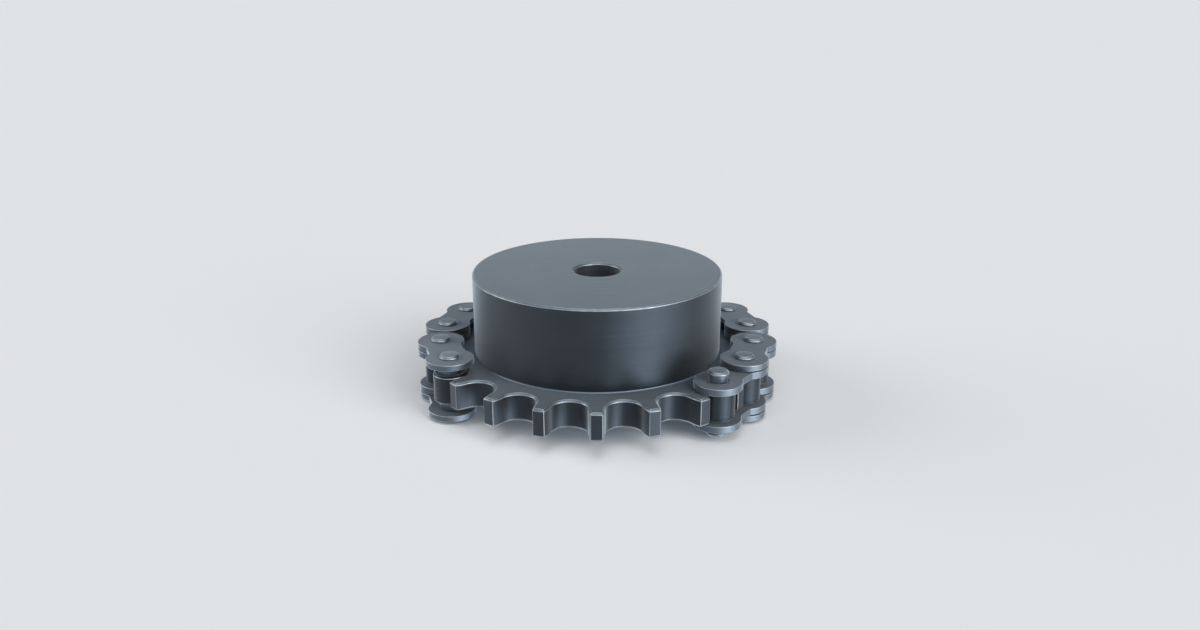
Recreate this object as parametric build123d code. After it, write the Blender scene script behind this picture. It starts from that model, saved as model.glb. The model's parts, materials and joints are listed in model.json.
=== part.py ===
from build123d import *
from math import acos, cos, degrees, radians, sin
import os

# A chain wheel with a hub on one side, and the length of roller chain that lies in its teeth.
# Millimetres. The origin is on the bore's axis, in the middle plane of the teeth, which is the
# chain's plane too. +Z runs along the bore to the nose of the hub, and the teeth that stand free of
# the chain face -Y.

# Chain of half-inch pitch: its rollers, bushes and pins
pitch = 12.7
inner_width = 7.75
roller_d = 8.51
roller_chamfer = 0.5
bush_wall = 0.775
bush_mouth_chamfer = 0.3
bush_stand_out = 0.1
pin_d = 4.45
pin_head_overhang = 0.325
pin_head_height = 0.88
pin_head_chamfer = 0.5

# Side plates of the chain links
inner_plate_thickness = 1.7
outer_plate_thickness = 1.5
plate_waist_depth = 1.5
plate_waist_fillet = 1.5

# Clearances, each on one side
pin_to_bush = 0.05
bush_to_roller = 0.07
roller_to_inner_plate = 0.075
inner_to_outer_plate = 0.325
plate_end_to_next_plate = 0.9
roller_to_seat = 0.165
rim_to_inner_plate = 0.275
hub_to_plates = 2.692

# The wheel
teeth = 20
tooth_above_pitch_circle = 2.458
tooth_chamfer = 0.5
hub_height = 20.8
hub_edge_chamfer = 0.4
hub_foot_fillet = 0.5
bore_d = 12.0
bore_chamfer = 0.5

# A tooth stands at the front. The chain's first pin lies in the gap past this tooth, counted from
# the front tooth towards -X, and each further pin in the next gap.
front_angle = -90
tooth_before_chain = 3
pins = 15

# Sizes of the chain that follow from those above
bush_bore_r = pin_d / 2 + pin_to_bush
bush_r = bush_bore_r + bush_wall
roller_bore_r = bush_r + bush_to_roller
roller_length = inner_width - 2 * roller_to_inner_plate
pin_head_r = pin_d / 2 + pin_head_overhang
plate_end_r = (pitch - plate_end_to_next_plate) / 2
plate_waist_width = 2 * (plate_end_r - plate_waist_depth)
inner_plate_z = inner_width / 2
outer_plate_z = inner_plate_z + inner_plate_thickness + inner_to_outer_plate
bush_length = 2 * (inner_plate_z + inner_plate_thickness + bush_stand_out)
head_z = outer_plate_z + outer_plate_thickness

# Sizes of the wheel that follow
tooth_step = 360 / teeth
pitch_r = pitch / 2 / sin(radians(tooth_step / 2))
link_r = pitch_r * cos(radians(tooth_step / 2))
seat_r = roller_d / 2 + roller_to_seat
tip_r = pitch_r + tooth_above_pitch_circle
hub_r = pitch_r - plate_end_r - hub_to_plates
hub_foot_r = hub_r + hub_foot_fillet
rim_width = inner_width - 2 * rim_to_inner_plate
rim_top_z = rim_width / 2
hub_top_z = rim_top_z + hub_height


def toothed_outline():
    """Outline of the rim: the rollers' seats, with a pointed tooth between each two, cut off at the tip.

    Each flank is an arc about the next roller's centre, so that a link can swing out of its gap.
    """
    flank_r = pitch - seat_r
    flank_turn = degrees(acos(pitch / 2 / flank_r))
    seat_half_angle = 90 - tooth_step / 2
    next_x = pitch_r * cos(radians(tooth_step))
    next_y = pitch_r * sin(radians(tooth_step))
    seat = CenterArc((pitch_r, 0), seat_r, 180 - seat_half_angle, 2 * seat_half_angle)
    left_flank = CenterArc((next_x, next_y), flank_r, -seat_half_angle, flank_turn)
    right_flank = CenterArc((next_x, -next_y), flank_r, seat_half_angle, -flank_turn)
    arcs = []
    for number in range(teeth):
        to_gap = Rot(0, 0, front_angle - (number + 0.5) * tooth_step)
        arcs += [to_gap * seat, to_gap * left_flank, to_gap * right_flank]
    return make_face(arcs) & Circle(tip_r)


def hub_section():
    """Half section of the hub and the disc under it, from the bore to the fillet at the hub's foot."""
    bore_r = bore_d / 2
    turned = Polyline(
        (hub_foot_r, rim_top_z),
        (hub_foot_r, -rim_top_z),
        (bore_r + bore_chamfer, -rim_top_z),
        (bore_r, -rim_top_z + bore_chamfer),
        (bore_r, hub_top_z - bore_chamfer),
        (bore_r + bore_chamfer, hub_top_z),
        (hub_r - hub_edge_chamfer, hub_top_z),
        (hub_r, hub_top_z - hub_edge_chamfer),
        (hub_r, rim_top_z + hub_foot_fillet),
    )
    foot = CenterArc((hub_foot_r, rim_top_z + hub_foot_fillet), hub_foot_fillet, 180, 90)
    return make_face([turned, foot])


def sprocket_wheel():
    """Toothed rim and hub, turned and cut from one bar."""
    rim = Pos(0, 0, -rim_top_z) * extrude(toothed_outline(), rim_width)
    rim_edges = rim.edges().group_by(Axis.Z)
    rim = chamfer(rim_edges[0] + rim_edges[-1], tooth_chamfer)
    rim -= Pos(0, 0, -rim_top_z) * extrude(Circle(hub_foot_r), rim_width)
    return rim + revolve(Plane.XZ * hub_section(), Axis.Z)


def ring(outer_r, inner_r, length, outer_chamfer=0.0, inner_chamfer=0.0):
    """A turned ring about Z, centred on its length, with chamfers on its outer and inner edges."""
    section = Pos((outer_r + inner_r) / 2, 0) * Rectangle(outer_r - inner_r, length)
    if outer_chamfer:
        section = chamfer(section.vertices().group_by(Axis.X)[-1], outer_chamfer)
    if inner_chamfer:
        section = chamfer(section.vertices().group_by(Axis.X)[0], inner_chamfer)
    return revolve(Plane.XZ * section, Axis.Z)


def roller():
    """Hardened roller that turns on its bush."""
    return ring(roller_d / 2, roller_bore_r, roller_length, outer_chamfer=roller_chamfer)


def bush():
    """Bush with chamfered mouths, which the pin turns in."""
    return ring(bush_r, bush_bore_r, bush_length, inner_chamfer=bush_mouth_chamfer)


def pin():
    """Pin with both ends riveted over into flat heads."""
    pin_r = pin_d / 2
    end_z = head_z + pin_head_height
    section = Polyline(
        (0, -end_z),
        (pin_head_r - pin_head_chamfer, -end_z),
        (pin_head_r, -end_z + pin_head_chamfer),
        (pin_head_r, -head_z),
        (pin_r, -head_z),
        (pin_r, head_z),
        (pin_head_r, head_z),
        (pin_head_r, end_z - pin_head_chamfer),
        (pin_head_r - pin_head_chamfer, end_z),
        (0, end_z),
        close=True,
    )
    return revolve(Plane.XZ * make_face(section), Axis.Z)


def side_plate(hole_r, thickness):
    """Stamped waisted plate, lying on Z = 0 with its two holes along X."""
    outline = Rectangle(pitch, plate_waist_width)
    for side in (-1, 1):
        outline += Pos(side * pitch / 2, 0) * Circle(plate_end_r)
    necks = [corner for corner in outline.vertices() if abs(corner.X) < pitch / 2]
    outline = fillet(necks, plate_waist_fillet)
    for side in (-1, 1):
        outline -= Pos(side * pitch / 2, 0) * Circle(hole_r)
    return extrude(outline, thickness)


def pin_direction(number):
    """Angle of a pin about the bore, from +X. Pin 1 is the left end of the chain."""
    return front_angle - (tooth_before_chain + number - 0.5) * tooth_step


def at_pin(number):
    """Where a pin, bush or roller lies on the pitch circle."""
    direction = pin_direction(number)
    x = pitch_r * cos(radians(direction))
    y = pitch_r * sin(radians(direction))
    return Location((x, y, 0), (0, 0, direction))


def at_link(number, height):
    """Where a side plate of the link from one pin to the next lies."""
    direction = pin_direction(number + 0.5)
    x = link_r * cos(radians(direction))
    y = link_r * sin(radians(direction))
    return Location((x, y, height), (0, 0, direction + 90))


nodes = {"sprocket_wheel": sprocket_wheel()}

one_roller = roller()
for number in range(1, pins + 1):
    nodes[f"roller_{number:02d}"] = at_pin(number) * one_roller

one_pin = pin()
outer_plate = side_plate(pin_d / 2, outer_plate_thickness)
for link, number in enumerate(range(1, pins, 2), 1):
    top = at_link(number, outer_plate_z)
    bottom = at_link(number, -outer_plate_z - outer_plate_thickness)
    nodes[f"outer_link_{link}_top_plate"] = top * outer_plate
    nodes[f"outer_link_{link}_bottom_plate"] = bottom * outer_plate
    link_pins = [at_pin(number) * one_pin, at_pin(number + 1) * one_pin]
    nodes[f"outer_link_{link}_pins"] = Compound(link_pins)
nodes["end_pin"] = at_pin(pins) * one_pin

one_bush = bush()
inner_plate = side_plate(bush_r, inner_plate_thickness)
for link, number in enumerate(range(2, pins, 2), 1):
    top = at_link(number, inner_plate_z)
    bottom = at_link(number, -inner_plate_z - inner_plate_thickness)
    nodes[f"inner_link_{link}_top_plate"] = top * inner_plate
    nodes[f"inner_link_{link}_bottom_plate"] = bottom * inner_plate
    bushes = [at_pin(number) * one_bush, at_pin(number + 1) * one_bush]
    nodes[f"inner_link_{link}_bushes"] = Compound(bushes)
nodes["end_bush"] = at_pin(1) * one_bush

os.makedirs("parts", exist_ok=True)
for name, shape in nodes.items():
    export_step(shape, f"parts/{name}.step")
print(len(nodes), "nodes")
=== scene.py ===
from math import acos, asin, atan2, cos, pi, radians, sin, sqrt
import json

import bmesh
import bpy
from mathutils import Matrix, Vector


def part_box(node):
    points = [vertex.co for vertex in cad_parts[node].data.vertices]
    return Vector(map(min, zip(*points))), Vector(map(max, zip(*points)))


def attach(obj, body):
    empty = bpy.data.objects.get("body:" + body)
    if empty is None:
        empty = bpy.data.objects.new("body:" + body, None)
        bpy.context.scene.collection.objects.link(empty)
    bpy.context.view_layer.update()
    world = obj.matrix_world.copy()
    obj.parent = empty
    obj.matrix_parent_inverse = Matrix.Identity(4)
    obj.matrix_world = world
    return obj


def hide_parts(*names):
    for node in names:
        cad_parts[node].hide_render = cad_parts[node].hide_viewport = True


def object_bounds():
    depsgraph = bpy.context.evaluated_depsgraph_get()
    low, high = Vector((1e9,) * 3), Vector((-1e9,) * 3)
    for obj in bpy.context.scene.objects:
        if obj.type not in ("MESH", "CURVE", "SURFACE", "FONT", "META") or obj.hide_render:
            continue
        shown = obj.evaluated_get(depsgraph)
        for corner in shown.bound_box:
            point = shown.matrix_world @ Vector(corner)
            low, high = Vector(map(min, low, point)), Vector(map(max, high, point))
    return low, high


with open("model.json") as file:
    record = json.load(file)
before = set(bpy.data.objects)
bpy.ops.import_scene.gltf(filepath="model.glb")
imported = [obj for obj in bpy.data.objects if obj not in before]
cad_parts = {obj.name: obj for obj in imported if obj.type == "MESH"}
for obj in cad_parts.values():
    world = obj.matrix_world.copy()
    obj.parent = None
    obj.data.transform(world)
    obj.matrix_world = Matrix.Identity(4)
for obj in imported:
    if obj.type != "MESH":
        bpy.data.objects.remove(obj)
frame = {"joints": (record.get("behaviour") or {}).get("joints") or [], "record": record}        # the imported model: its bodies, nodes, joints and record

cad_low, cad_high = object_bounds()

# The chain wheel: toothed rim and hub in one piece of steel. The blank is turned and bored on a
# lathe, the teeth are cut between the roller seats, their edges are chamfered, and the whole wheel
# is blackened in a hot bath, which leaves a dark blue-grey skin.
mm = 0.001
wheel_low, wheel_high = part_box("sprocket_wheel")
rim_half = -wheel_low.z
hub_top = wheel_high.z
tip_r = 43.05 * mm
seat_r = 4.42 * mm
tooth_chamfer = 0.5 * mm
hub_r = 32.0 * mm
hub_edge_chamfer = 0.4 * mm
hub_foot_fillet = 0.5 * mm
bore_r = 6.0 * mm
bore_chamfer = 0.5 * mm
flat_by_edge = 0.4 * mm
wheel_edge_radius = 0.12 * mm
seat_steps = 16
flank_steps = 3
tip_steps = 1
hub_fillet_steps = 5
hub_steps = 160
merge_distance = 0.001 * mm
height_tolerance = 0.01 * mm
sharp_angle = radians(30)

roller_joints = [joint for joint in frame["joints"] if joint["name"].startswith("roller_")]
roller_joints.sort(key=lambda joint: joint["name"])
pin_places = [Vector(joint["pos_m"]) for joint in roller_joints]
pitch = (pin_places[1] - pin_places[0]).length
pitch_r = pin_places[0].length
tooth_step = 2 * asin(pitch / 2 / pitch_r)
teeth = round(2 * pi / tooth_step)

body_of = {}
for body, nodes in frame["record"]["behaviour"]["bodies"].items():
    for node_name in nodes:
        body_of[node_name] = body


def take_up(piece):
    """Makes this the one selected piece, for the operators that follow."""
    bpy.ops.object.select_all(action="DESELECT")
    piece.select_set(True)
    bpy.context.view_layer.objects.active = piece


def first_point(name, place):
    """Starts a mesh of one point, in edit mode, from which an outline is drawn."""
    bpy.ops.object.select_all(action="DESELECT")
    bpy.ops.mesh.primitive_plane_add(size=mm)
    piece = bpy.context.object
    piece.name = piece.data.name = name
    bpy.ops.object.mode_set(mode="EDIT")
    bpy.ops.mesh.select_mode(type="VERT")
    bpy.ops.mesh.select_all(action="SELECT")
    bpy.ops.mesh.merge(type="CENTER")
    bpy.ops.transform.translate(value=place)
    return piece


def line_by(step):
    """Draws a straight line on from the last point."""
    bpy.ops.mesh.extrude_vertices_move(TRANSFORM_OT_translate={"value": step})


def arc_about(centre, turn, steps):
    """Draws an arc on from the last point. The spin operator counts turns clockwise."""
    bpy.ops.mesh.spin(steps=steps, angle=-turn, center=centre, axis=(0, 0, 1))


def merge_points():
    """In edit mode, joins the points that lie on top of each other."""
    bpy.ops.mesh.select_all(action="SELECT")
    bpy.ops.mesh.remove_doubles(threshold=merge_distance)


def turned(name, section, steps):
    """A turned piece: its half section, as radii and heights, is drawn and spun round Z."""
    piece = first_point(name, (section[0][0], 0, section[0][1]))
    for (r, z), (next_r, next_z) in zip(section, section[1:]):
        line_by((next_r - r, 0, next_z - z))
    bpy.ops.mesh.select_all(action="SELECT")
    bpy.ops.mesh.spin(steps=steps, angle=2 * pi, center=(0, 0, 0), axis=(0, 0, 1))
    merge_points()
    bpy.ops.mesh.normals_make_consistent(inside=False)
    bpy.ops.object.mode_set(mode="OBJECT")
    return piece


def select_faces(piece, wanted):
    """In edit mode, selects the faces whose middle suits."""
    bpy.ops.mesh.select_mode(type="FACE")
    bpy.ops.mesh.select_all(action="DESELECT")
    mesh = bmesh.from_edit_mesh(piece.data)
    for face in mesh.faces:
        face.select_set(wanted(face.calc_center_median()))
    bmesh.update_edit_mesh(piece.data)


def bridge_open_edges(piece, wanted):
    """In edit mode, joins two loops of open edges, picked by their place, with a band of faces."""
    bpy.ops.mesh.select_mode(type="EDGE")
    bpy.ops.mesh.select_all(action="DESELECT")
    mesh = bmesh.from_edit_mesh(piece.data)
    for edge in mesh.edges:
        middle = (edge.verts[0].co + edge.verts[1].co) / 2
        edge.select_set(edge.is_boundary and wanted(middle))
    bmesh.update_edit_mesh(piece.data)
    bpy.ops.mesh.bridge_edge_loops()


def apply_modifier(piece, kind, **settings):
    """Adds a modifier with these settings and applies it."""
    take_up(piece)
    bpy.ops.object.modifier_add(type=kind)
    modifier = piece.modifiers[-1]
    for setting, value in settings.items():
        setattr(modifier, setting, value)
    bpy.ops.object.modifier_apply(modifier=modifier.name)


def round_edges(piece, radius, steps=3):
    """Rounds the sharp edges, gives them the second finish and smooths the shading.

    The second finish is lighter, partly by wear and partly as a painted highlight.
    """
    apply_modifier(
        piece,
        "BEVEL",
        width=radius,
        segments=steps,
        limit_method="ANGLE",
        angle_limit=sharp_angle,
        loop_slide=False,
        material=1,
    )
    bpy.ops.object.shade_smooth()
    apply_modifier(piece, "WEIGHTED_NORMAL", mode="FACE_AREA")


def on_circle(r, angle):
    """A place in the wheel's plane, by its distance and angle about the bore."""
    return Vector((r * cos(angle), r * sin(angle), 0))


# Half a seat, a flank and half a tip are drawn, mirrored over the front tooth and repeated round
# the wheel. The walls rise from this outline, and each side gets a chamfer and a narrow flat.
front_tooth_angle = -pi / 2
gap_angle = front_tooth_angle + tooth_step / 2
gap = on_circle(pitch_r, gap_angle)
next_gap = on_circle(pitch_r, front_tooth_angle - tooth_step / 2)
seat_turn = (pi - tooth_step) / 2
flank_r = pitch - seat_r
flank_turn = acos((pitch_r**2 + flank_r**2 - tip_r**2) / (2 * pitch_r * flank_r)) - seat_turn
flank_end = next_gap + on_circle(flank_r, -flank_turn)
tip_turn = front_tooth_angle - atan2(flank_end.y, flank_end.x)

wheel = first_point("finished_wheel", on_circle(pitch_r - seat_r, gap_angle))
arc_about(gap, seat_turn, seat_steps)
arc_about(next_gap, -flank_turn, flank_steps)
arc_about((0, 0, 0), tip_turn, tip_steps)
bpy.ops.object.mode_set(mode="OBJECT")
apply_modifier(wheel, "MIRROR", merge_threshold=merge_distance)
bpy.ops.object.mode_set(mode="EDIT")
bpy.ops.mesh.select_all(action="SELECT")
bpy.ops.mesh.spin(steps=teeth, angle=2 * pi, dupli=True, center=(0, 0, 0), axis=(0, 0, 1))
merge_points()
bpy.ops.mesh.edge_face_add()
wall_half = rim_half - tooth_chamfer
bpy.ops.transform.translate(value=(0, 0, -wall_half))
bpy.ops.mesh.extrude_region_move(TRANSFORM_OT_translate={"value": (0, 0, 2 * wall_half)})
for side in (1, -1):
    select_faces(wheel, lambda middle: abs(middle.z - side * wall_half) < height_tolerance)
    bpy.ops.mesh.inset(thickness=tooth_chamfer)
    bpy.ops.transform.translate(value=(0, 0, side * tooth_chamfer))
    bpy.ops.mesh.inset(thickness=flat_by_edge)
    bpy.ops.mesh.delete(type="ONLY_FACE")
bpy.ops.object.mode_set(mode="OBJECT")

# The hub's section runs from the fillet at its foot over its nose and down the bore to a narrow
# flat underneath. A flat ring is then bridged from each of its two ends to the teeth.
foot_z = rim_half + hub_foot_fillet
hub_section = []
for step in range(hub_fillet_steps + 1):
    angle = -pi / 2 - step * pi / 2 / hub_fillet_steps
    foot_r = hub_r + hub_foot_fillet + hub_foot_fillet * cos(angle)
    hub_section.append((foot_r, foot_z + hub_foot_fillet * sin(angle)))
hub_section += [
    (hub_r, hub_top - hub_edge_chamfer),
    (hub_r - hub_edge_chamfer, hub_top),
    (hub_r - hub_edge_chamfer - flat_by_edge, hub_top),
    (bore_r + bore_chamfer + flat_by_edge, hub_top),
    (bore_r + bore_chamfer, hub_top),
    (bore_r, hub_top - bore_chamfer),
    (bore_r, -rim_half + bore_chamfer),
    (bore_r + bore_chamfer, -rim_half),
    (bore_r + bore_chamfer + flat_by_edge, -rim_half),
]
hub = turned("hub", hub_section, hub_steps)
hub.select_set(True)
wheel.select_set(True)
bpy.context.view_layer.objects.active = wheel
bpy.ops.object.join()
bpy.ops.object.mode_set(mode="EDIT")
bridge_open_edges(wheel, lambda middle: middle.z > 0)
bridge_open_edges(wheel, lambda middle: middle.z < 0)
merge_points()
bpy.ops.mesh.normals_make_consistent(inside=False)
bpy.ops.object.mode_set(mode="OBJECT")


class Value:
    """A socket in a material. Sums on it add Math nodes, and node() adds any other node."""

    def __init__(self, tree, socket=None):
        self.tree = tree
        self.socket = socket

    def node(self, kind, settings=None, inputs=None, output=0):
        """Adds a node: its settings first, then the values or links of its sockets."""
        made = self.tree.nodes.new(kind)
        for name, setting in (settings or {}).items():
            setattr(made, name, setting)
        for name, value in (inputs or {}).items():
            if isinstance(value, Value):
                self.tree.links.new(value.socket, made.inputs[name])
            else:
                made.inputs[name].default_value = value
        return Value(self.tree, made.outputs[output]) if made.outputs else None

    def maths(self, operation, first, second=0.0):
        """Adds a Math node."""
        return self.node("ShaderNodeMath", {"operation": operation}, {0: first, 1: second})

    def __add__(self, other):
        return self.maths("ADD", self, other)

    def __radd__(self, other):
        return self.maths("ADD", other, self)

    def __sub__(self, other):
        return self.maths("SUBTRACT", self, other)

    def __rsub__(self, other):
        return self.maths("SUBTRACT", other, self)

    def __mul__(self, other):
        return self.maths("MULTIPLY", self, other)

    def __rmul__(self, other):
        return self.maths("MULTIPLY", other, self)


def new_material(name):
    """A new material, and the start of its nodes."""
    material = bpy.data.materials.new(name)
    material.use_nodes = True
    material.node_tree.nodes.clear()
    return material, Value(material.node_tree)


def in_millimetres(place):
    """In a material, a place that was in metres."""
    return place.node("ShaderNodeVectorMath", {"operation": "SCALE"}, {0: place, "Scale": 1 / mm})


def new_steel(name):
    """A new material, and each point's place in millimetres, from which its patterns start."""
    material, start = new_material(name)
    return material, in_millimetres(start.node("ShaderNodeTexCoord", output="Object"))


def clouds(place, per_mm, detail):
    """Soft noise, mostly between 0 and 1, with so many clouds to the millimetre."""
    noise = place.node(
        "ShaderNodeTexNoise",
        {},
        {"Vector": place, "Scale": per_mm, "Detail": detail},
    )
    return 2 * noise - 0.5


def about_axis(place):
    """Distance from the axis and height along it, which the marks of the lathe follow."""
    flat = place.node("ShaderNodeVectorMath", {"operation": "MULTIPLY"}, {0: place, 1: (1, 1, 0)})
    distance = flat.node("ShaderNodeVectorMath", {"operation": "LENGTH"}, {0: flat}, output="Value")
    height = place.node("ShaderNodeSeparateXYZ", {}, {0: place}, output="Z")
    return place.node("ShaderNodeCombineXYZ", {}, {"X": distance, "Y": height})


def between(share, dark, light):
    """The colour at this share of the way from dark to light.

    The Mix node's colours are its inputs 6 and 7 and its output 2.
    """
    mix_inputs = {0: share, 6: dark, 7: light}
    return share.node("ShaderNodeMix", {"data_type": "RGBA"}, mix_inputs, output=2)


def finish_steel(colour, roughness, marks, depth, bloom):
    """Ends a steel's nodes: its surface, with the marks as bumps and the oxide's bloom as sheen."""
    bump = marks.node("ShaderNodeBump", {}, {"Distance": depth, "Height": marks})
    shader = bump.node(
        "ShaderNodeBsdfPrincipled",
        {},
        {
            "Base Color": colour,
            "Metallic": 1.0,
            "Roughness": roughness,
            "Specular Tint": grazing_tint,
            "Sheen Weight": bloom,
            "Sheen Roughness": bloom_roughness,
            "Sheen Tint": bloom_colour,
            "Normal": bump,
        },
    )
    shader.node("ShaderNodeOutputMaterial", {}, {"Surface": shader})


def give_finishes(piece, finishes):
    """The first finish covers the piece, and the second is for its edges, once rounded."""
    piece.data.materials.clear()
    for finish in finishes:
        piece.data.materials.append(finish)


grazing_tint = (0.4, 0.4, 0.41, 1)
bloom_colour = (0.79, 0.9, 1.0, 1)
bloom_roughness = 0.42
oxide_dark = (0.078, 0.100, 0.124, 1)
oxide_light = (0.101, 0.128, 0.159, 1)
# A far darker colour for the wheel's upright walls and the rollers: painted shade.
oxide_with_painted_shade_dark = (0.022, 0.028, 0.035, 1)
oxide_with_painted_shade_light = (0.028, 0.036, 0.045, 1)
# A lighter colour for the bore: painted light in its shade.
painted_light_bore_dark = (0.13, 0.15, 0.175, 1)
painted_light_bore_light = (0.19, 0.21, 0.24, 1)
# Bare steel for the rounded edges: partly wear through the oxide, partly a painted highlight.
bare_steel_and_highlight = (0.30, 0.31, 0.32, 1)

faced_steel, place = new_steel("faced_and_blackened_steel")
facing = clouds(about_axis(place), 2.2, 3)
mottle = clouds(place, 0.1, 3)
skin = between(0.6 * mottle + 0.4 * facing, oxide_dark, oxide_light)
finish_steel(skin, 0.37 + 0.05 * mottle + 0.1 * facing, facing, 0.02 * mm, bloom=0.65)

# The wheel's upright walls: turned steel in the darker colour, which is painted shade.
turned_steel_with_painted_shade, place = new_steel("turned_and_blackened_steel_with_painted_shade")
turning = clouds(about_axis(place), 2.2, 3)
mottle = clouds(place, 0.1, 3)
skin = between(0.6 * mottle + 0.4 * turning, oxide_with_painted_shade_dark, oxide_with_painted_shade_light)
finish_steel(skin, 0.34 + 0.05 * mottle + 0.05 * turning, turning, 0.012 * mm, bloom=0.75)

# The bore: a lighter colour than the walls, which is painted light.
bore_steel_with_painted_light, place = new_steel("bore_finish_with_painted_light")
boring = clouds(about_axis(place), 1.8, 3)
skin = between(boring, painted_light_bore_dark, painted_light_bore_light)
finish_steel(skin, 0.36 + 0.06 * boring, boring, 0.01 * mm, bloom=0.6)

# The wheel's rounded edges: lighter steel, partly real wear and partly a painted highlight.
wheel_edge_wear_and_highlight, place = new_steel("worn_and_highlit_edge_of_the_wheel")
wear_and_highlight = clouds(place, 0.5, 3)
edge = between(0.2 + 0.8 * wear_and_highlight, oxide_light, bare_steel_and_highlight)
finish_steel(edge, 0.42 - 0.08 * wear_and_highlight, wear_and_highlight, 0.003 * mm, bloom=0.6)

# The flat sides and chamfers keep the first finish. The rounded edges get the second, lighter by
# wear and by a painted highlight. Upright walls get a far darker colour, which is painted shade,
# and the bore a lighter one, which is painted light.
wheel_finishes = [faced_steel, wheel_edge_wear_and_highlight, turned_steel_with_painted_shade, bore_steel_with_painted_light]
wall_normal_z = 0.3
give_finishes(wheel, wheel_finishes)
for face in wheel.data.polygons:
    if abs(face.normal.z) < wall_normal_z:
        in_bore = face.center.xy.length < bore_r + bore_chamfer
        face.material_index = wheel_finishes.index(bore_steel_with_painted_light if in_bore else turned_steel_with_painted_shade)
round_edges(wheel, wheel_edge_radius)
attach(wheel, body_of["sprocket_wheel"])
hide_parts("sprocket_wheel")


# The rollers: short tubes, hardened and ground, one loose round each bush. They lie in the seats
# between the teeth.
roller_r = 4.255 * mm
roller_bore_r = 3.12 * mm
roller_half = 3.8 * mm
roller_chamfer = 0.5 * mm
roller_edge_radius = 0.12 * mm
roller_steps = 64


def closed(section):
    """The half section of a tube, drawn back to where it began."""
    return section + section[:1]


def put_copy(pattern, name, place):
    """A copy of a finished piece with a mesh of its own, which holds its place."""
    piece = pattern.copy()
    piece.data = pattern.data.copy()
    piece.name = piece.data.name = name
    bpy.context.collection.objects.link(piece)
    piece.data.transform(place)
    return piece


def keep_own_place(piece):
    """Stores each point's place about the piece's own axis, before a copy is put in the chain."""
    places = piece.data.attributes.new("own_place", "FLOAT_VECTOR", "POINT")
    for point, stored in zip(piece.data.vertices, places.data):
        stored.vector = point.co


def own_place(place):
    """In a material, the place about the piece's own axis, in millimetres."""
    stored = place.node("ShaderNodeAttribute", {"attribute_name": "own_place"}, output="Vector")
    return in_millimetres(stored)


def fit(piece, node_name):
    """The piece rides on its node's body and stands for the node, which is hidden."""
    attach(piece, body_of[node_name])
    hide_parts(node_name)


def at_pin(number):
    """The place of a pin, counted from 1 at the chain's left end."""
    return Matrix.Translation(pin_places[number - 1])


roller_section = [
    (roller_bore_r, -roller_half),
    (roller_r - roller_chamfer, -roller_half),
    (roller_r, -roller_half + roller_chamfer),
    (roller_r, roller_half - roller_chamfer),
    (roller_r - roller_chamfer, roller_half),
    (roller_bore_r, roller_half),
]
# The rollers take the walls' darker colour, which is painted shade.
roller_steel_with_painted_shade, place = new_steel("ground_roller_finish_with_painted_shade")
grinding = clouds(about_axis(own_place(place)), 2, 3)
mottle = clouds(place, 0.25, 2)
skin = between(0.5 * mottle + 0.5 * grinding, oxide_with_painted_shade_dark, oxide_with_painted_shade_light)
finish_steel(skin, 0.32 + 0.05 * mottle + 0.05 * grinding, grinding, 0.002 * mm, bloom=0.6)

# A roller's rounded edges: lighter steel, partly real wear and partly a painted highlight.
roller_edge_wear_and_highlight, place = new_steel("worn_and_highlit_edge_of_a_roller")
wear_and_highlight = clouds(place, 0.8, 2)
edge = between(wear_and_highlight, oxide_light, bare_steel_and_highlight)
finish_steel(edge, 0.36 - 0.06 * wear_and_highlight, wear_and_highlight, 0.001 * mm, bloom=0.6)

roller = turned("roller", closed(roller_section), roller_steps)
give_finishes(roller, [roller_steel_with_painted_shade, roller_edge_wear_and_highlight])
round_edges(roller, roller_edge_radius)
keep_own_place(roller)
pins = len(pin_places)
for number in range(1, pins + 1):
    node_name = f"roller_{number:02d}"
    piece = put_copy(roller, f"finished_{node_name}", at_pin(number))
    fit(piece, node_name)
bpy.data.objects.remove(roller)


# The inner links: two stamped plates on two bushes, which are pressed into their holes. At the
# chain's left end the last bush is without its plates.
bush_r = 3.05 * mm
bush_bore_r = 2.275 * mm
bush_half = 5.675 * mm
bush_mouth_chamfer = 0.3 * mm
plate_end_r = 5.9 * mm
plate_waist_half = 4.4 * mm
plate_waist_fillet = 1.5 * mm
inner_plate_thickness = 1.7 * mm
inner_plate_z = 3.875 * mm
plate_edge_radius = 0.15 * mm
bush_edge_radius = 0.06 * mm
bush_and_pin_steps = 48
waist_steps = 6
plate_end_steps = 20

bush_section = [
    (bush_bore_r + bush_mouth_chamfer, -bush_half),
    (bush_r, -bush_half),
    (bush_r, bush_half),
    (bush_bore_r + bush_mouth_chamfer, bush_half),
    (bush_bore_r, bush_half - bush_mouth_chamfer),
    (bush_bore_r, -bush_half + bush_mouth_chamfer),
]
bush_steel, place = new_steel("ground_bush_steel")
grinding = clouds(about_axis(own_place(place)), 2.5, 3)
mottle = clouds(place, 0.3, 2)
skin = between(0.5 * mottle + 0.5 * grinding, oxide_dark, oxide_light)
finish_steel(skin, 0.34 + 0.05 * mottle + 0.05 * grinding, grinding, 0.002 * mm, bloom=0.6)

# A bush's rounded edges: lighter steel, partly real wear and partly a painted highlight.
bush_edge_wear_and_highlight, place = new_steel("worn_and_highlit_edge_of_a_bush")
wear_and_highlight = clouds(place, 0.9, 2)
edge = between(wear_and_highlight, oxide_light, bare_steel_and_highlight)
finish_steel(edge, 0.38 - 0.06 * wear_and_highlight, wear_and_highlight, 0.001 * mm, bloom=0.6)

bush = turned("bush", closed(bush_section), bush_and_pin_steps)
give_finishes(bush, [bush_steel, bush_edge_wear_and_highlight])
round_edges(bush, bush_edge_radius, steps=2)
keep_own_place(bush)

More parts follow.
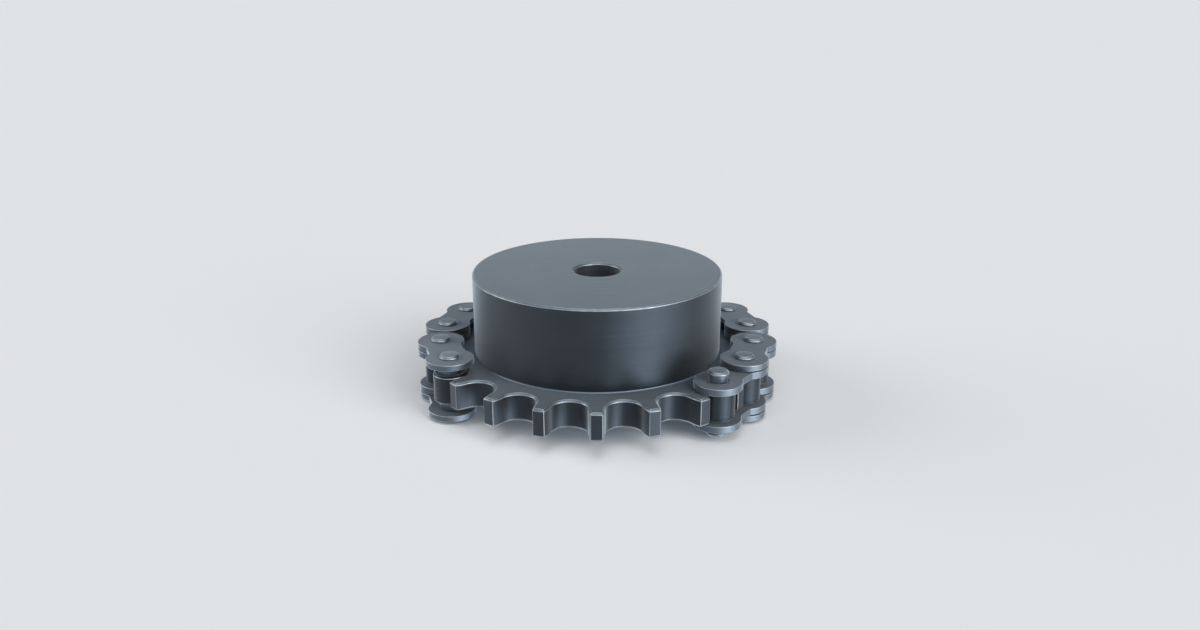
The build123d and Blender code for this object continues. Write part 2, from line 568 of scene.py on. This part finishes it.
tumbled_steel, place = new_steel("tumbled_plate_steel")
tumbling = clouds(own_place(place), 1.6, 5)
mottle = clouds(place, 0.15, 3)
skin = between(0.7 * mottle + 0.3 * tumbling, oxide_dark, oxide_light)
finish_steel(skin, 0.42 + 0.06 * mottle + 0.06 * tumbling, tumbling, 0.005 * mm, bloom=0.8)

# A plate's rounded edges: lighter steel, partly real wear and partly a painted highlight.
plate_edge_wear_and_highlight, place = new_steel("worn_and_highlit_edge_of_a_plate")
wear_and_highlight = clouds(place, 0.6, 3)
edge = between(0.3 + 0.7 * wear_and_highlight, oxide_light, bare_steel_and_highlight)
finish_steel(edge, 0.42 - 0.08 * wear_and_highlight, wear_and_highlight, 0.003 * mm, bloom=0.9)


def side_plate(name, hole_r, thickness):
    """A waisted plate with two holes along X, blanked from strip and tumbled, lying on Z = 0."""
    reach = plate_end_r + plate_waist_fillet
    rise = plate_waist_half + plate_waist_fillet
    fillet_x = pitch / 2 - sqrt(reach**2 - rise**2)
    fillet_turn = pi / 2 - atan2(rise, pitch / 2 - fillet_x)
    plate = first_point(name, (0, plate_waist_half, 0))
    line_by((fillet_x, 0, 0))
    arc_about((fillet_x, rise, 0), fillet_turn, waist_steps)
    arc_about((pitch / 2, 0, 0), -pi / 2 - fillet_turn, plate_end_steps)
    bpy.ops.object.mode_set(mode="OBJECT")
    apply_modifier(plate, "MIRROR", use_axis=(True, True, False), merge_threshold=merge_distance)
    bpy.ops.object.mode_set(mode="EDIT")
    merge_points()
    bpy.ops.mesh.edge_face_add()
    bpy.ops.mesh.extrude_region_move(TRANSFORM_OT_translate={"value": (0, 0, thickness)})
    bpy.ops.mesh.select_all(action="SELECT")
    bpy.ops.mesh.normals_make_consistent(inside=False)
    bpy.ops.object.mode_set(mode="OBJECT")
    for side in (-1, 1):
        bpy.ops.object.select_all(action="DESELECT")
        bpy.ops.mesh.primitive_cylinder_add(
            vertices=bush_and_pin_steps,
            radius=hole_r,
            depth=3 * thickness,
            location=(side * pitch / 2, 0, 0),
        )
        punch = bpy.context.object
        apply_modifier(plate, "BOOLEAN", object=punch, operation="DIFFERENCE", solver="EXACT")
        bpy.data.objects.remove(punch)
    give_finishes(plate, [tumbled_steel, plate_edge_wear_and_highlight])
    round_edges(plate, plate_edge_radius)
    keep_own_place(plate)
    return plate


def at_link(number, height):
    """The place of a side plate on this pin and the next."""
    along = pin_places[number] - pin_places[number - 1]
    middle = (pin_places[number] + pin_places[number - 1]) / 2
    turn = Matrix.Rotation(atan2(along.y, along.x), 4, "Z")
    return Matrix.Translation(middle + Vector((0, 0, height))) @ turn


def put_plates(link, number, plate, top_z, bottom_z):
    """A link's two side plates, each with its lower face at this height."""
    for side, height in (("top", top_z), ("bottom", bottom_z)):
        node_name = f"{link}_{side}_plate"
        piece = put_copy(plate, f"finished_{node_name}", at_link(number, height))
        fit(piece, node_name)


def put_pair(node_name, number, pattern):
    """A link's two bushes or pins, joined into one piece."""
    first = put_copy(pattern, f"finished_{node_name}", at_pin(number))
    second = put_copy(pattern, f"finished_{node_name}", at_pin(number + 1))
    take_up(first)
    second.select_set(True)
    bpy.ops.object.join()
    fit(first, node_name)


inner_plate = side_plate("inner_plate", bush_r, inner_plate_thickness)
inner_plate_low_z = -inner_plate_z - inner_plate_thickness
for link, number in enumerate(range(2, pins, 2), 1):
    put_plates(f"inner_link_{link}", number, inner_plate, inner_plate_z, inner_plate_low_z)
    put_pair(f"inner_link_{link}_bushes", number, bush)
fit(put_copy(bush, "finished_end_bush", at_pin(1)), "end_bush")
bpy.data.objects.remove(inner_plate)
bpy.data.objects.remove(bush)


# The outer links: two stamped plates on two pins, whose ends are riveted over them. At the chain's
# right end the last pin is without its plates.
pin_r = 2.225 * mm
pin_head_r = 2.55 * mm
pin_head_z = 7.4 * mm
pin_head_height = 0.88 * mm
pin_head_chamfer = 0.5 * mm
outer_plate_thickness = 1.5 * mm
outer_plate_z = 5.9 * mm
pin_edge_radius = 0.12 * mm
rubbed_oxide_dark = (0.104, 0.130, 0.158, 1)
rubbed_oxide_light = (0.140, 0.170, 0.204, 1)

pin_end_z = pin_head_z + pin_head_height
pin_section = [
    (0, -pin_end_z),
    (pin_head_r - pin_head_chamfer, -pin_end_z),
    (pin_head_r, -pin_end_z + pin_head_chamfer),
    (pin_head_r, -pin_head_z),
    (pin_r, -pin_head_z),
    (pin_r, pin_head_z),
    (pin_head_r, pin_head_z),
    (pin_head_r, pin_end_z - pin_head_chamfer),
    (pin_head_r - pin_head_chamfer, pin_end_z),
    (0, pin_end_z),
]
pin_steel, place = new_steel("hardened_pin_steel")
riveting = clouds(about_axis(own_place(place)), 1.8, 3)
mottle = clouds(place, 0.3, 2)
skin = between(0.5 * mottle + 0.5 * riveting, rubbed_oxide_dark, rubbed_oxide_light)
finish_steel(skin, 0.38 + 0.05 * mottle + 0.06 * riveting, riveting, 0.003 * mm, bloom=0.85)

# A pin's rounded edges: lighter steel, partly real wear and partly a painted highlight.
pin_edge_wear_and_highlight, place = new_steel("worn_and_highlit_edge_of_a_pin")
wear_and_highlight = clouds(place, 0.9, 2)
edge = between(0.5 + 0.5 * wear_and_highlight, oxide_light, bare_steel_and_highlight)
finish_steel(edge, 0.42 - 0.06 * wear_and_highlight, wear_and_highlight, 0.002 * mm, bloom=1.0)

pin = turned("pin", pin_section, bush_and_pin_steps)
give_finishes(pin, [pin_steel, pin_edge_wear_and_highlight])
round_edges(pin, pin_edge_radius)
keep_own_place(pin)

outer_plate = side_plate("outer_plate", pin_r, outer_plate_thickness)
outer_plate_low_z = -outer_plate_z - outer_plate_thickness
for link, number in enumerate(range(1, pins, 2), 1):
    put_plates(f"outer_link_{link}", number, outer_plate, outer_plate_z, outer_plate_low_z)
    put_pair(f"outer_link_{link}_pins", number, pin)
fit(put_copy(pin, "finished_end_pin", at_pin(pins)), "end_pin")
bpy.data.objects.remove(outer_plate)
bpy.data.objects.remove(pin)


# The studio: a pale floor that runs out of sight, a pale sky and soft lamps. Two lamps stand below
# the floor's level, as under a glass table, so the floor takes the object's shadow and casts none.
floor_colour = (0.737, 0.753, 0.768, 1)
floor_size = 40
bpy.ops.object.select_all(action="DESELECT")
bpy.ops.mesh.primitive_plane_add(size=floor_size, location=(0, 0, cad_low.z))
floor = bpy.context.object
floor.name = "floor"
material, start = new_material("floor")
shader = start.node("ShaderNodeBsdfDiffuse", {}, {"Color": floor_colour})
start.node("ShaderNodeOutputMaterial", {}, {"Surface": shader})
floor.data.materials.append(material)
floor.visible_shadow = False

# The sky shows at full strength, also in mirror images, but lights the object by a share only.
sky_light = 0.15
world = bpy.context.scene.world or bpy.data.worlds.new("world")
bpy.context.scene.world = world
world.use_nodes = True
world.node_tree.nodes.clear()
start = Value(world.node_tree)
seen = start.node("ShaderNodeLightPath", output="Is Camera Ray")
mirrored = start.node("ShaderNodeLightPath", output="Is Glossy Ray")
through = start.node("ShaderNodeLightPath", output="Is Transmission Ray")
shown = start.maths("MAXIMUM", seen, start.maths("MAXIMUM", mirrored, through))
strength = sky_light + (1 - sky_light) * shown
sky = start.node("ShaderNodeBackground", {}, {"Color": floor_colour, "Strength": strength})
start.node("ShaderNodeOutputWorld", {}, {"Surface": sky})


def soft_lamp(name, azimuth, elevation, width, energy):
    """A lamp far away, as wide as a soft box. Azimuth 0 is in front, and 90 at the right."""
    toward = Vector((
        sin(radians(azimuth)) * cos(radians(elevation)),
        -cos(radians(azimuth)) * cos(radians(elevation)),
        sin(radians(elevation)),
    ))
    bpy.ops.object.light_add(type="SUN", rotation=toward.to_track_quat("Z", "Y").to_euler())
    lamp = bpy.context.object
    lamp.name = name
    lamp.data.energy = energy
    lamp.data.angle = radians(width)


soft_lamp("lamp_above", 0, 89, 50, 0.7)
soft_lamp("lamp_in_front", 0, 50, 60, 1.0)
soft_lamp("lamp_at_the_right", 50, 30, 40, 1.8)
soft_lamp("lamp_at_the_left", -100, 22, 40, 1.2)
soft_lamp("lamp_below_at_the_right", 50, -22, 44, 4.4)
soft_lamp("lamp_below_at_the_left", -140, -20, 40, 3.0)

camera_target = Vector((0.73 * mm, 0, 11.984 * mm))
camera_distance = 267.84 * mm
camera_elevation = radians(19.16)
toward_camera = Vector((0, -cos(camera_elevation), sin(camera_elevation)))
bpy.ops.object.camera_add(location=camera_target + camera_distance * toward_camera)
camera = bpy.context.object
camera.rotation_euler = toward_camera.to_track_quat("Z", "Y").to_euler()
camera.data.sensor_width = 36
camera.data.lens = 30.78
camera.data.clip_start = 1 * mm
camera.data.clip_end = 100
bpy.context.scene.camera = camera
bpy.context.scene.view_settings.view_transform = "Standard"
